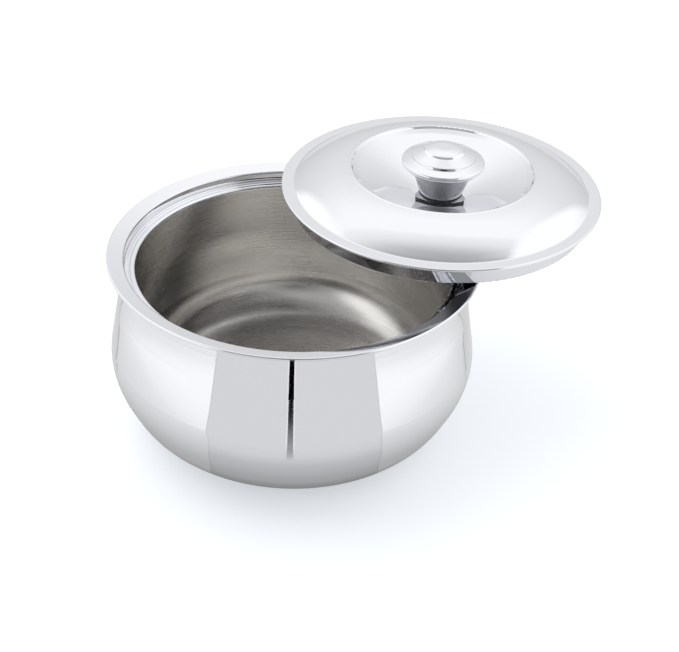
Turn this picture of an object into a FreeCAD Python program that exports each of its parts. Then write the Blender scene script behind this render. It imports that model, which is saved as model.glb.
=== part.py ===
"""Insulated stainless casserole: a double-walled belly pot and its loose double-walled lid.

Millimetres, +Z up. The origin is the centre of the pot's base, on the surface that it stands on.
The lid is off its seat: it lies level across the pot's rim, to one side. Each lid piece is drawn
about the lid's own axis, with Z = 0 at the lid's flat underside, and is then placed on the rim.
"""
import FreeCAD, Part

import math
import os
import re

import Sketcher

# Every size that can be set by itself: alias, value, what it is.
SIZES = [
    # rim and mouth of the pot, from the outside in
    ("pot_height", 114.0, "top of the rim above the floor"),
    ("rim_r", 110.0, "outer edge of the rolled rim"),
    ("rim_width", 10.0, "dished rim, from its edge in to the step"),
    ("rim_drop", 2.4, "how far the dished rim falls over that width"),
    ("lip_bend", 1.3, "bend from the rim to the step wall"),
    ("recess_depth", 6.5, "step wall, down to the ledge"),
    ("recess_bend", 1.0, "bend from the step wall to the ledge"),
    ("ledge_width", 6.5, "ledge that carries the lid, from the step wall in to the mouth"),
    ("mouth_bend", 1.5, "bend from the ledge to the bowl's wall"),
    ("groove_inset", 2.9, "middle of the drip groove in the ledge, from the step wall"),
    ("groove_half_width", 0.75, "half the drip groove"),
    ("groove_depth", 0.45, "depth of the drip groove"),
    ("groove_bend", 0.7, "bends of the drip groove"),
    # sheets and how they close on each other
    ("shell_gauge", 0.6, "sheet of the outer bowl"),
    ("liner_gauge", 0.6, "sheet of the food bowl"),
    ("seat_gap", 0.05, "play between faces that are pressed together"),
    ("hem_bend", 0.92, "outside bend of the rolled edges"),
    ("hem_neck_room", 1.4, "end of the rim's rolled edge, outside the bend of the neck"),
    ("edge_gap", 0.8, "room between a sheet's edge and the roll that holds it"),
    # outer bowl
    ("neck_room", 3.0, "outside of the straight neck, beyond the step wall"),
    ("neck_drop", 20.5, "where the belly's side would meet the neck, below the rim's top"),
    ("neck_bend", 95.0, "hollow curve from belly to neck"),
    ("neck_lip_bend", 1.6, "bend from the neck to its turned-out edge"),
    ("belly_bulge", 9.3, "corner that the belly rounds off, outside the neck"),
    ("belly_corner_height", 42.0, "height of that corner"),
    ("belly_bend", 43.5, "curve of the belly"),
    ("base_inset", 10.5, "corner that the lower curve rounds off, inside the neck"),
    ("base_bend", 37.0, "curve from the base to the belly"),
    ("base_panel_inset", 40.5, "step round the raised base panel, inside that corner"),
    ("base_panel_lift", 1.6, "height of the raised base panel"),
    ("base_panel_bend", 2.0, "bends of the panel's step"),
    # food bowl
    ("floor_room", 11.2, "foam under the bowl's floor, with its play"),
    ("liner_bulge", 4.0, "corner that the bowl's side rounds off, outside its mouth"),
    ("liner_belly_height", 62.0, "height of that corner"),
    ("liner_belly_bend", 70.0, "curve of the bowl's side"),
    ("liner_base_inset", 3.5, "corner that the bowl's lower curve rounds off, inside its mouth"),
    ("liner_base_bend", 30.0, "curve from the bowl's floor to its side"),
    # plugs in the base
    ("port_hole_r", 7.0, "hole that the foam is poured through"),
    ("port_head_lip", 3.0, "head of its plug, beyond the hole"),
    ("port_barb", 0.6, "how far the plug's barb stands out past the hole"),
    ("vent_hole_r", 2.5, "hole that lets the air out"),
    ("vent_head_lip", 2.0, "head of its plug, beyond the hole"),
    ("vent_barb", 0.4, "how far its barb stands out"),
    ("plug_spacing", 8.0, "between the heads of the two plugs"),
    ("plug_flange", 1.1, "thickness of a plug's head"),
    ("plug_neck", 0.4, "length of a plug's neck past the sheet"),
    ("plug_nose", 3.2, "length of a plug's barbed nose"),
    ("plug_play", 0.1, "play between a plug and its hole"),
    # how the lid lies
    ("lid_inset", 3.75, "lid's axis, inside the rim's edge"),
    ("lid_bearing", 35.0, "degrees from X to the lid's axis"),
    ("lid_rest_gap", 0.05, "lid's underside above the rim's top"),
    # lid
    ("lid_play", 1.0, "between the lid's edge and the step wall, when it is on its seat"),
    ("lid_height", 13.8, "top of the flange above the lid's underside"),
    ("lid_gauge", 0.6, "sheet of the lid's top"),
    ("pan_gauge", 0.6, "sheet of the lid's pan"),
    ("lid_hem_return", 3.6, "how far the flange's rolled edge runs back"),
    ("skirt_play", 0.8, "between the top of the skirt and the mouth"),
    ("skirt_taper", 0.7, "how much smaller the skirt is at its foot"),
    ("pan_bend", 1.2, "bend from the pan's floor to the skirt"),
    ("skirt_bend", 1.0, "bend from the skirt to the flange"),
    ("dome_inset", 1.2, "where the dome rises from the flange, inside the skirt's top"),
    ("dome_edge_bend", 1.3, "bend from the flange to the dome"),
    ("dome_shoulder", 15.5, "corner that the dome rounds off, inside its edge"),
    ("dome_bend", 67.0, "curve of the dome"),
    ("dome_width", 34.4, "from the dome's edge in to the middle of the raised ring"),
    ("dome_fall", 1.95, "from the foot of the ring down to the dome's corner"),
    ("ring_width", 1.2, "top of the raised ring"),
    ("ring_rise", 12.85, "top of the ring above the flange"),
    ("ring_bend", 0.9, "bends at the ring's top"),
    ("ring_foot_bend", 0.5, "bends at the feet of the ring"),
    ("outer_drop", 0.3, "drop from the ring to the dome"),
    ("outer_drop_run", 1.0, "width of that drop"),
    ("inner_drop", 1.3, "drop from the ring to the dish"),
    ("inner_drop_run", 0.9, "width of that drop"),
    ("dish_edge_fall", 1.7, "fall of the steeper band round the dish"),
    ("dish_edge_run", 3.3, "width of that band"),
    ("dish_edge_bend", 8.0, "bend from the band to the dish's wall"),
    ("dish_wall_fall", 5.95, "fall of the upper part of the dish's wall"),
    ("dish_wall_run", 16.3, "width of that part"),
    ("dish_wall_bend", 300.0, "bend from it to the lower part"),
    ("dish_slope_run", 19.5, "width of the lower part, down to the dish's floor"),
    ("dish_sink", 4.2, "floor of the dish below the flange's top"),
    ("dish_bend", 10.0, "bend from the wall to the floor, where the knob's foot leaves room for it"),
    ("lid_foam_bend", 2.0, "rounded lower edge of the foam disc"),
    # knob, from the cap inward
    ("cap_r", 25.6, "outer edge of the cap"),
    ("cap_gauge", 0.7, "sheet of the cap"),
    ("cap_curl_bend", 1.9, "lower bend of the cap's rolled rim"),
    ("cap_shoulder_bend", 1.5, "upper bend of the rolled rim"),
    ("cap_shoulder_rise", 3.4, "shoulder above the cap's lowest face"),
    ("shoulder_width", 5.8, "from the cap's edge in to the foot of the outer step"),
    ("step_bend", 0.6, "bends of the two steps in the cap"),
    ("outer_step_run", 0.6, "width of the outer step"),
    ("outer_step_low", 5.6, "foot of the outer step above the cap's lowest face"),
    ("outer_step_high", 7.0, "top of the outer step above it"),
    ("step_spacing", 7.2, "from one step's foot to the other's"),
    ("inner_step_run", 1.0, "width of the inner step"),
    ("inner_step_low", 9.9, "foot of the inner step above the cap's lowest face"),
    ("inner_step_high", 10.8, "top of the inner step above it"),
    ("crown_shoulder", 5.0, "corner that the crown rounds off, inside the inner step"),
    ("crown_bend", 18.0, "curve of the crown"),
    ("crown_rise", 12.6, "crown above the cap's lowest face"),
    ("neck_gauge", 0.8, "sheet of the flared neck"),
    ("neck_height", 18.65, "height of the neck's flange above its foot"),
    ("flange_play", 1.4, "between the neck's flange and the inside of the cap"),
    ("cap_overhang", 6.4, "cap's edge beyond the top of the flare"),
    ("flare_bend", 2.0, "bend from the flare to the neck's flange"),
    ("curl_play", 0.9, "between that bend and the edge of the cap's rolled rim"),
    ("flare", 5.8, "how much wider the neck is at its top than at its foot"),
    ("swell", 3.4, "corner that the neck's side rounds off, beyond the foot"),
    ("swell_rise", 9.7, "height of that corner above the foot"),
    ("swell_bend", 60.0, "curve of the neck's side"),
    ("foot_bend", 0.9, "bend from the foot to the neck"),
    ("foot_hole_room", 3.25, "hole in the neck's foot, beyond the screw's hole"),
    ("gasket_lip", 0.1, "sealing ring beyond the neck's foot"),
    ("gasket_hole_room", 1.25, "hole in the sealing ring, beyond the screw's hole"),
    ("gasket_thickness", 0.5, "sealing ring"),
    ("core_play", 0.6, "between the core and the sheet round it"),
    ("core_rim_play", 1.6, "between the core's lower disc and the cap's rolled rim"),
    ("core_shoulder_room", 0.7, "core's lower disc below the cap's shoulder"),
    ("core_top_play", 0.2, "between the core and the cap's top"),
    ("insert_wall", 1.1, "wall of the threaded insert"),
    ("insert_head_lip", 1.0, "head of the insert beyond its body"),
    ("insert_head", 0.8, "thickness of the insert's head"),
    ("insert_length", 10.0, "insert, head included"),
    ("screw_tip_room", 4.0, "hole past the insert for the screw's tip"),
    # fixing under the dish
    ("screw_r", 2.5, "screw's thread"),
    ("screw_play", 0.05, "between the screw and the insert's bore"),
    ("hole_play", 0.25, "clearance holes beyond the screw"),
    ("screw_length", 16.0, "screw under its head"),
    ("head_lip", 2.25, "screw's head beyond its thread"),
    ("head_height", 2.9, "screw's head"),
    ("head_bend", 1.6, "rounded edge of the head"),
    ("cross_width", 1.2, "each arm of the cross recess"),
    ("cross_span", 5.0, "the cross recess from end to end"),
    ("cross_depth", 1.6, "depth of the cross recess"),
    ("plate_r", 15.0, "backing plate"),
    ("plate_thickness", 1.2, "backing plate"),
    ("washer_lip", 0.25, "flat washer beyond the screw's head"),
    ("washer_thickness", 1.0, "flat washer"),
    ("spring_inset", 0.15, "split spring washer inside the screw's head"),
    ("spring_thickness", 1.3, "split spring washer"),
    ("spring_split", 1.2, "split in the spring washer"),
    ("pocket_room", 1.5, "pocket in the foam disc, round the backing plate"),
    ("pocket_depth_room", 0.9, "pocket's floor under the screw's head"),
]
ALIASES = {alias for alias, _, _ in SIZES}

# Sizes that follow from others. The pot's radii:
RECESS_R = "(rim_r - rim_width)"
MOUTH_R = f"({RECESS_R} - ledge_width)"
GROOVE_R = f"({RECESS_R} - groove_inset)"
NECK_R = f"({RECESS_R} + neck_room)"
BASE_CORNER_R = f"({NECK_R} - base_inset)"
BASE_PANEL_R = f"({BASE_CORNER_R} - base_panel_inset)"
RIM_RETURN_R = f"({NECK_R} + neck_lip_bend + hem_neck_room)"
SHELL_EDGE_R = "(rim_r - liner_gauge - edge_gap)"
# its heights:
RIM_SLOPE = "(rim_drop / rim_width)"
RIM_SLANT = f"sqrt(1 + {RIM_SLOPE} * {RIM_SLOPE})"
RIM_HEM = f"((2 * liner_gauge + shell_gauge + 2 * seat_gap) * {RIM_SLANT})"
SHELL_EDGE_DROP = f"((liner_gauge + seat_gap + shell_gauge) * {RIM_SLANT})"
LEDGE = "(pot_height - rim_drop - recess_depth)"
LINER_FLOOR = "(base_panel_lift + shell_gauge + floor_room + liner_gauge)"
PLUG_TOP = "(base_panel_lift + shell_gauge + plug_neck + plug_nose)"
VENT_X = "(port_hole_r + port_head_lip + plug_spacing + vent_head_lip + vent_hole_r)"
# the lid's place and radii:
LID_X = "((rim_r - lid_inset) * cos(lid_bearing))"
LID_Y = "((rim_r - lid_inset) * sin(lid_bearing))"
LID_Z = "(pot_height + lid_rest_gap)"
LID_R = f"({RECESS_R} - lid_play)"
SKIRT_TOP_R = f"({MOUTH_R} - skirt_play)"
DOME_EDGE_R = f"({SKIRT_TOP_R} - dome_inset)"
RING_R = f"({DOME_EDGE_R} - dome_width)"
RING_IN_R = f"({RING_R} - ring_width / 2)"
RING_OUT_R = f"({RING_R} + ring_width / 2)"
DISH_EDGE_R = f"({RING_IN_R} - inner_drop_run)"
DISH_WALL_R = f"({DISH_EDGE_R} - dish_edge_run)"
DISH_SLOPE_R = f"({DISH_WALL_R} - dish_wall_run)"
DISH_FLOOR_R = f"({DISH_SLOPE_R} - dish_slope_run)"
# the lid's heights above its underside, and the stack that holds the knob:
LID_HEM = "(2 * lid_gauge + pan_gauge + 2 * seat_gap)"
DISH = "(lid_height - dish_sink)"
RING_TOP = "(lid_height + ring_rise)"
DISH_EDGE = f"({RING_TOP} - inner_drop)"
DISH_WALL = f"({DISH_EDGE} - dish_edge_fall)"
DISH_SLOPE = f"({DISH_WALL} - dish_wall_fall)"
DOME_FOOT = f"({RING_TOP} - outer_drop)"
PLATE_TOP = f"({DISH} - lid_gauge - seat_gap)"
WASHER_TOP = f"({PLATE_TOP} - plate_thickness - seat_gap)"
SPRING_TOP = f"({WASHER_TOP} - washer_thickness - seat_gap)"
HEAD_TOP = f"({SPRING_TOP} - spring_thickness - seat_gap)"
HEAD_LOW = f"({HEAD_TOP} - head_height)"
FOOT = f"({DISH} + gasket_thickness + 2 * seat_gap)"
CORE_FOOT = f"({FOOT} + neck_gauge + seat_gap)"
INSERT_TOP = f"({CORE_FOOT} + insert_length)"
CAP_FOOT = f"({FOOT} + neck_height - seat_gap - cap_gauge)"
CORE_SEAT = f"({FOOT} + neck_height + neck_gauge + seat_gap)"
# the knob's radii:
FLARE_R = "(cap_r - cap_overhang)"
FOOT_R = f"({FLARE_R} - flare)"
CURL_R = f"({FLARE_R} + flare_bend + curl_play)"
OUTER_STEP_R = "(cap_r - shoulder_width)"
INNER_STEP_R = f"({OUTER_STEP_R} - step_spacing)"
GASKET_R = f"({FOOT_R} + gasket_lip)"
SCREW_HOLE_R = "(screw_r + hole_play)"
HEAD_R = "(screw_r + head_lip)"
INSERT_R = "(screw_r + insert_wall)"
INSERT_HEAD_R = f"({INSERT_R} + insert_head_lip)"
# The dish stays flat under the sealing ring, so its bend is no wider than the rest leaves room for.
SLOPE_RISE = f"({DISH_SLOPE} - {DISH})"
SLOPE_LENGTH = f"sqrt(dish_slope_run * dish_slope_run + {SLOPE_RISE} * {SLOPE_RISE})"
DISH_BEND = (f"min(dish_bend; ({DISH_FLOOR_R} - {GASKET_R}) * {SLOPE_RISE}"
             f" / ({SLOPE_LENGTH} - dish_slope_run))")

doc = FreeCAD.newDocument("Casserole")
sizes = doc.addObject("Spreadsheet::Sheet", "sizes")
for row, (alias, number, meaning) in enumerate(SIZES, start=1):
    sizes.set(f"A{row}", alias)
    sizes.set(f"B{row}", str(number))
    sizes.setAlias(f"B{row}", alias)
    sizes.set(f"C{row}", meaning)
doc.recompute()

UPRIGHT = FreeCAD.Placement(FreeCAD.Vector(), FreeCAD.Rotation(FreeCAD.Vector(1, 0, 0), 90))
AXIS_POINT = -1  # the sketch's own origin
LONGEST_BEND = 0.99  # the most of a straight run that its two bends may take


def bound(text):
    """Point each alias in an expression at the sheet."""
    return re.sub(r"[a-z]\w*", lambda word: ("sizes." if word[0] in ALIASES else "") + word[0], text)


def value(text):
    return float(sizes.evalExpression(bound(text)))


def tie(target, path, text):
    """Bind one of an object's sizes to the sheet."""
    target.setExpression(path, bound(text))


def rule(sketch, text, *constraint):
    """Add a measured constraint to a sketch and bind it to the sheet."""
    number = sketch.addConstraint(Sketcher.Constraint(*constraint, value(text)))
    sketch.setExpression(f"Constraints[{number}]", bound(text))


def join(sketch, *constraint):
    sketch.addConstraint(Sketcher.Constraint(*constraint))


def bend_reach(before, corner, after, radius):
    """How much a bend of this radius takes off each of the two runs that meet at a corner."""
    return radius / math.tan((before - corner).getAngle(after - corner) / 2)


def bend_between(before, corner, after, radius):
    """Where such a bend starts, has its centre and ends."""
    inward = (before - corner).normalize()
    onward = (after - corner).normalize()
    reach = bend_reach(before, corner, after, radius)
    centre = corner + (inward + onward).normalize() * math.hypot(radius, reach)
    return corner + inward * reach, centre, corner + onward * reach


def fitted_bends(corners, spots, closed):
    """Each corner's bend as an expression. A bend whose run is too short for it and for the
    bend at the run's other end gives up its share."""
    count = len(corners)
    reach, share = [0.0] * count, [1.0] * count
    for index, corner in enumerate(corners):
        if len(corner) == 3:
            reach[index] = bend_reach(
                spots[index - 1], spots[index], spots[(index + 1) % count], value(corner[2]))
    for index in range(count if closed else count - 1):
        following = (index + 1) % count
        run = LONGEST_BEND * (spots[following] - spots[index]).Length
        if reach[index] + reach[following] > run:
            room = run / (reach[index] + reach[following])
            share[index] = min(share[index], room)
            share[following] = min(share[following], room)
    return [None if len(corner) == 2 else corner[2] if share[index] == 1
            else f"{share[index]:.6f} * ({corner[2]})" for index, corner in enumerate(corners)]


def draw_outline(sketch, corners, closed):
    """Draw straight runs from corner to corner, with a tangent bend at each corner that has one.

    A corner is (r, z) or (r, z, bend), each an expression. A bent corner keeps a construction
    point, which its two runs aim at, so that the sketch holds the corners and not the bend's ends.
    """
    spots = [FreeCAD.Vector(value(corner[0]), value(corner[1]), 0) for corner in corners]
    bends = fitted_bends(corners, spots, closed)
    count = len(corners)
    arrive, leave, centres = list(spots), list(spots), {}
    for index, bend in enumerate(bends):
        if bend:
            arrive[index], centres[index], leave[index] = bend_between(
                spots[index - 1], spots[index], spots[(index + 1) % count], value(bend))
    runs = {}
    for index in range(count if closed else count - 1):
        run = Part.LineSegment(leave[index], arrive[(index + 1) % count])
        runs[index] = sketch.addGeometry(run, False)
    for index, corner in enumerate(corners):
        previous = (index - 1) % count
        if bends[index]:
            mark = sketch.addGeometry(Part.Point(spots[index]), True)
            rule(sketch, corner[0], "DistanceX", AXIS_POINT, 1, mark, 1)
            rule(sketch, corner[1], "DistanceY", AXIS_POINT, 1, mark, 1)
            join(sketch, "PointOnObject", mark, 1, runs[previous])
            join(sketch, "PointOnObject", mark, 1, runs[index])
            centre = centres[index]
            turn = (spots[index] - arrive[index]).cross(leave[index] - spots[index]).z
            first, last = (arrive[index], leave[index]) if turn > 0 else (leave[index], arrive[index])
            circle = Part.Circle(centre, FreeCAD.Vector(0, 0, 1), value(bends[index]))
            angles = [math.atan2(end.y - centre.y, end.x - centre.x) for end in (first, last)]
            arc = sketch.addGeometry(Part.ArcOfCircle(circle, *angles), False)
            arc_start, arc_end = (1, 2) if turn > 0 else (2, 1)
            join(sketch, "Tangent", runs[previous], 2, arc, arc_start)
            join(sketch, "Tangent", arc, arc_end, runs[index], 1)
            rule(sketch, bends[index], "Radius", arc)
        else:
            run, end = (runs[index], 1) if index in runs else (runs[previous], 2)
            rule(sketch, corner[0], "DistanceX", AXIS_POINT, 1, run, end)
            rule(sketch, corner[1], "DistanceY", AXIS_POINT, 1, run, end)
            if index in runs and previous in runs:
                join(sketch, "Coincident", runs[previous], 2, runs[index], 1)


def band(name, corners, thickness, closed=False):
    """An outline and its offset: a sheet's section, or a closed outline moved in or out."""
    sketch = doc.addObject("Sketcher::SketchObject", f"{name}_outline")
    sketch.Placement = UPRIGHT
    draw_outline(sketch, corners, closed)
    offset = doc.addObject("Part::Offset2D", f"{name}_section")
    offset.Source = sketch
    offset.Mode = "Pipe" if closed else "Skin"
    offset.Join = "Intersection"
    offset.Fill = not closed
    offset.Value = value(thickness)
    tie(offset, "Value", thickness)
    return offset


def spin(name, section):
    """Turn a section about the Z axis."""
    turned = doc.addObject("Part::Revolution", name)
    turned.Source = section
    turned.Axis = (0, 0, 1)
    turned.Base = (0, 0, 0)
    turned.Angle = 360
    turned.Solid = True
    return turned


def spun_sheet(name, corners, gauge):
    """A spun or drawn sheet. Its corners follow the face that shows, and the sheet lies to the
    left of that line, or to the right of it where the gauge is negative."""
    return spin(name, band(name, corners, gauge))


def solid_turning(name, corners):
    """A solid piece of revolution, as a body with one closed sketch."""
    body = doc.addObject("PartDesign::Body", name)
    sketch = body.newObject("Sketcher::SketchObject", f"{name}_outline")
    plane = next(item for item in body.Origin.OriginFeatures if item.Role == "XZ_Plane")
    sketch.AttachmentSupport = [(plane, "")]
    sketch.MapMode = "FlatFace"
    draw_outline(sketch, corners, closed=True)
    turning = body.newObject("PartDesign::Revolution", f"{name}_turning")
    turning.Profile = sketch
    turning.ReferenceAxis = (sketch, ["V_Axis"])
    turning.Angle = 360
    return body


def ring(name, inner, outer, low, high):
    return solid_turning(name, [(inner, low), (outer, low), (outer, high), (inner, high)])


def rod(name, radius, low, high):
    """A round tool for drilling, from one height to another on the Z axis."""
    tool = doc.addObject("Part::Cylinder", name)
    tie(tool, "Radius", radius)
    tie(tool, "Height", f"({high}) - ({low})")
    tie(tool, "Placement.Base.z", low)
    return tool


def block(name, width, depth, low, high, start_x, start_y):
    """A square tool for milling, from one height to another."""
    tool = doc.addObject("Part::Box", name)
    tie(tool, "Length", width)
    tie(tool, "Width", depth)
    tie(tool, "Height", f"({high}) - ({low})")
    tie(tool, "Placement.Base.x", start_x)
    tie(tool, "Placement.Base.y", start_y)
    tie(tool, "Placement.Base.z", low)
    return tool


def cut(name, blank, *tools):
    """Cut the tools from a blank, one after another. The last cut has the piece's name."""
    for number, tool in enumerate(tools, start=1):
        last = number == len(tools)
        piece = doc.addObject("Part::Cut", name if last else f"{name}_cut_{number}")
        piece.Base = blank
        piece.Tool = tool
        blank = piece
    return blank


nodes = []


def node(piece, label):
    piece.Label = label
    nodes.append(piece)
    return piece


def lid_node(piece, label):
    """A piece of the lid, moved from the lid's own axis to where the lid lies on the rim."""
    tie(piece, "Placement.Base.x", LID_X)
    tie(piece, "Placement.Base.y", LID_Y)
    tie(piece, "Placement.Base.z", LID_Z)
    return node(piece, label)


# ---- pot: the outer bowl ----
PANEL_STEP = [
    (f"{BASE_PANEL_R} - base_panel_bend", "base_panel_lift", "base_panel_bend"),
    (f"{BASE_PANEL_R} + base_panel_bend", "0", "base_panel_bend"),
]
BELLY = [
    (BASE_CORNER_R, "0", "base_bend"),
    (f"{NECK_R} + belly_bulge", "belly_corner_height", "belly_bend"),
    (NECK_R, "pot_height - neck_drop", "neck_bend"),
]
shell_blank = spun_sheet("outer_shell_blank", [
    ("0", "base_panel_lift"),
    *PANEL_STEP,
    *BELLY,
    (NECK_R, f"pot_height - {RIM_SLOPE} * (rim_r - {NECK_R}) - {SHELL_EDGE_DROP}", "neck_lip_bend"),
    (SHELL_EDGE_R, f"pot_height - {RIM_SLOPE} * (rim_r - {SHELL_EDGE_R}) - {SHELL_EDGE_DROP}"),
], "shell_gauge")
port_drill = rod("port_drill", "port_hole_r", "0", "2 * base_panel_lift + shell_gauge")
vent_drill = rod("vent_drill", "vent_hole_r", "0", "2 * base_panel_lift + shell_gauge")
tie(vent_drill, "Placement.Base.x", VENT_X)
node(cut("outer_shell", shell_blank, port_drill, vent_drill), "outer_shell")

# ---- pot: the food bowl, from the middle of its floor up to the rolled rim ----
LINER_WALL = [
    (f"{MOUTH_R} - liner_base_inset", LINER_FLOOR, "liner_base_bend"),
    (f"{MOUTH_R} + liner_bulge", "liner_belly_height", "liner_belly_bend"),
]
liner = spun_sheet("inner_liner", [
    ("0", LINER_FLOOR),
    *LINER_WALL,
    (MOUTH_R, LEDGE, "mouth_bend"),
    (f"{GROOVE_R} - groove_half_width", LEDGE, "groove_bend"),
    (GROOVE_R, f"{LEDGE} - groove_depth", "groove_bend"),
    (f"{GROOVE_R} + groove_half_width", LEDGE, "groove_bend"),
    (RECESS_R, LEDGE, "recess_bend"),
    (RECESS_R, "pot_height - rim_drop", "lip_bend"),
    ("rim_r", "pot_height", "hem_bend"),
    ("rim_r", f"pot_height - {RIM_HEM}", "hem_bend"),
    (RIM_RETURN_R, f"pot_height - {RIM_HEM} - {RIM_SLOPE} * (rim_r - {RIM_RETURN_R})"),
], "-liner_gauge")
node(liner, "inner_liner")

# ---- pot: foam between the bowls, kept clear of both by the seat gap ----
# The outlines run past the axis by as much as the offset moves them, so that they end on it.
FOAM_TOP = f"({LEDGE} - mouth_bend - seat_gap)"
OUTER_INSET = "(shell_gauge + seat_gap)"
LINER_OUTSET = "(liner_gauge + seat_gap)"
foam_outside = spin("pot_foam_outside", band("pot_foam_outside", [
    (f"-{OUTER_INSET}", "base_panel_lift"),
    *PANEL_STEP,
    *BELLY,
    (NECK_R, f"{FOAM_TOP} + {OUTER_INSET}"),
    (f"-{OUTER_INSET}", f"{FOAM_TOP} + {OUTER_INSET}"),
], f"-{OUTER_INSET}", closed=True))
foam_inside = spin("pot_foam_inside", band("pot_foam_inside", [
    (LINER_OUTSET, LINER_FLOOR),
    *LINER_WALL,
    (MOUTH_R, LEDGE),
    (LINER_OUTSET, LEDGE),
], LINER_OUTSET, closed=True))
port_socket = rod("port_socket", "port_hole_r + port_barb + seat_gap", "0", f"{PLUG_TOP} + seat_gap")
vent_socket = rod("vent_socket", "vent_hole_r + vent_barb + seat_gap", "0", f"{PLUG_TOP} + seat_gap")
tie(vent_socket, "Placement.Base.x", VENT_X)
node(cut("pot_foam", foam_outside, foam_inside, port_socket, vent_socket), "pot_foam")


# ---- pot: the two plugs in the base ----
def base_plug(label, hole):
    """A push-in plug: head under the raised panel, neck in the hole, barbed nose in the foam."""
    head_top = "base_panel_lift - seat_gap"
    neck_top = "base_panel_lift + shell_gauge + plug_neck"
    neck = f"{hole}_hole_r - plug_play"
    head = f"{hole}_hole_r + {hole}_head_lip"
    return node(solid_turning(label, [
        ("0", f"{head_top} - plug_flange"),
        (head, f"{head_top} - plug_flange"),
        (head, head_top),
        (neck, head_top),
        (neck, neck_top),
        (f"{hole}_hole_r + {hole}_barb", neck_top),
        (f"{neck} - {hole}_barb", PLUG_TOP),
        ("0", PLUG_TOP),
    ]), label)


base_plug("foam_port_plug", "port")
tie(base_plug("vent_plug", "vent"), "Placement.Base.x", VENT_X)

# ---- lid: the domed top, from the screw's hole out to the rolled edge ----
LID_TOP = [
    (DISH_FLOOR_R, DISH, DISH_BEND),
    (DISH_SLOPE_R, DISH_SLOPE, "dish_wall_bend"),
    (DISH_WALL_R, DISH_WALL, "dish_edge_bend"),
    (DISH_EDGE_R, DISH_EDGE, "ring_foot_bend"),
    (RING_IN_R, RING_TOP, "ring_bend"),
    (RING_OUT_R, RING_TOP, "ring_bend"),
    (f"{RING_OUT_R} + outer_drop_run", DOME_FOOT, "ring_foot_bend"),
    (f"{DOME_EDGE_R} - dome_shoulder", f"{DOME_FOOT} - dome_fall", "dome_bend"),
]
lid_top = spun_sheet("lid_top_shell", [
    (SCREW_HOLE_R, DISH),
    *LID_TOP,
    (DOME_EDGE_R, "lid_height", "dome_edge_bend"),
    (LID_R, "lid_height", "hem_bend"),
    (LID_R, f"lid_height - {LID_HEM}", "hem_bend"),
    (f"{LID_R} - lid_hem_return", f"lid_height - {LID_HEM}"),
], "-lid_gauge")
lid_node(lid_top, "lid_top_shell")

# ---- lid: the pan under it, whose floor and skirt show from below ----
PAN_FLANGE = "(lid_height - lid_gauge - seat_gap - pan_gauge)"
lid_pan = spun_sheet("lid_pan", [
    ("0", "0"),
    (f"{SKIRT_TOP_R} - skirt_taper", "0", "pan_bend"),
    (SKIRT_TOP_R, PAN_FLANGE, "skirt_bend"),
    (f"{LID_R} - lid_gauge - edge_gap", PAN_FLANGE),
], "pan_gauge")
lid_node(lid_pan, "lid_pan")

# ---- lid: the moulded foam disc, with a pocket for the knob's fixing ----
LID_INSET = "(lid_gauge + seat_gap)"
foam_disc = spin("lid_foam_disc", band("lid_foam_disc", [
    (f"-{LID_INSET}", DISH),
    *LID_TOP,
    (DOME_EDGE_R, "lid_height"),
    (DOME_EDGE_R, "pan_gauge - lid_gauge", "lid_foam_bend"),
    (f"-{LID_INSET}", "pan_gauge - lid_gauge"),
], f"-{LID_INSET}", closed=True))
fixing_pocket = rod("fixing_pocket", "plate_r + pocket_room", f"{HEAD_LOW} - pocket_depth_room", DISH)
lid_node(cut("lid_foam", foam_disc, fixing_pocket), "lid_foam")

# ---- lid: the knob's fixing, from the dish down ----
lid_node(ring("backing_plate", SCREW_HOLE_R, "plate_r",
              f"{PLATE_TOP} - plate_thickness", PLATE_TOP), "backing_plate")
lid_node(ring("flat_washer", SCREW_HOLE_R, f"{HEAD_R} + washer_lip",
              f"{WASHER_TOP} - washer_thickness", WASHER_TOP), "flat_washer")
spring_blank = ring("spring_washer_blank", SCREW_HOLE_R, f"{HEAD_R} - spring_inset",
                    f"{SPRING_TOP} - spring_thickness", SPRING_TOP)
spring_slot = block("spring_washer_slot", HEAD_R, "spring_split",
                    f"({SPRING_TOP} - 2 * spring_thickness)", f"({SPRING_TOP} + spring_thickness)",
                    "0", "-spring_split / 2")
lid_node(cut("spring_washer", spring_blank, spring_slot), "spring_washer")

screw_blank = solid_turning("knob_screw_blank", [
    ("0", HEAD_LOW),
    (HEAD_R, HEAD_LOW, "head_bend"),
    (HEAD_R, HEAD_TOP),
    ("screw_r - screw_play", HEAD_TOP),
    ("screw_r - screw_play", f"{HEAD_TOP} + screw_length"),
    ("0", f"{HEAD_TOP} + screw_length"),
])
CROSS = [f"({HEAD_LOW} - cross_depth)", f"({HEAD_LOW} + cross_depth)"]
cross_along = block("knob_screw_cross_x", "cross_span", "cross_width", *CROSS,
                    "-cross_span / 2", "-cross_width / 2")
cross_over = block("knob_screw_cross_y", "cross_width", "cross_span", *CROSS,
                   "-cross_width / 2", "-cross_span / 2")
lid_node(cut("knob_screw", screw_blank, cross_along, cross_over), "knob_screw")

# ---- knob: sealing ring, flared neck, core with its insert, stepped cap ----
GASKET_LOW = f"({DISH} + seat_gap)"
lid_node(ring("knob_gasket", f"{SCREW_HOLE_R} + gasket_hole_room", GASKET_R,
              GASKET_LOW, f"{GASKET_LOW} + gasket_thickness"), "knob_gasket")
knob_neck = spun_sheet("knob_neck", [
    (f"{SCREW_HOLE_R} + foot_hole_room", FOOT),
    (FOOT_R, FOOT, "foot_bend"),
    (f"{FOOT_R} + swell", f"{FOOT} + swell_rise", "swell_bend"),
    (FLARE_R, f"{FOOT} + neck_height", "flare_bend"),
    ("cap_r - cap_gauge - flange_play", f"{FOOT} + neck_height"),
], "neck_gauge")
lid_node(knob_neck, "knob_neck")

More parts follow.
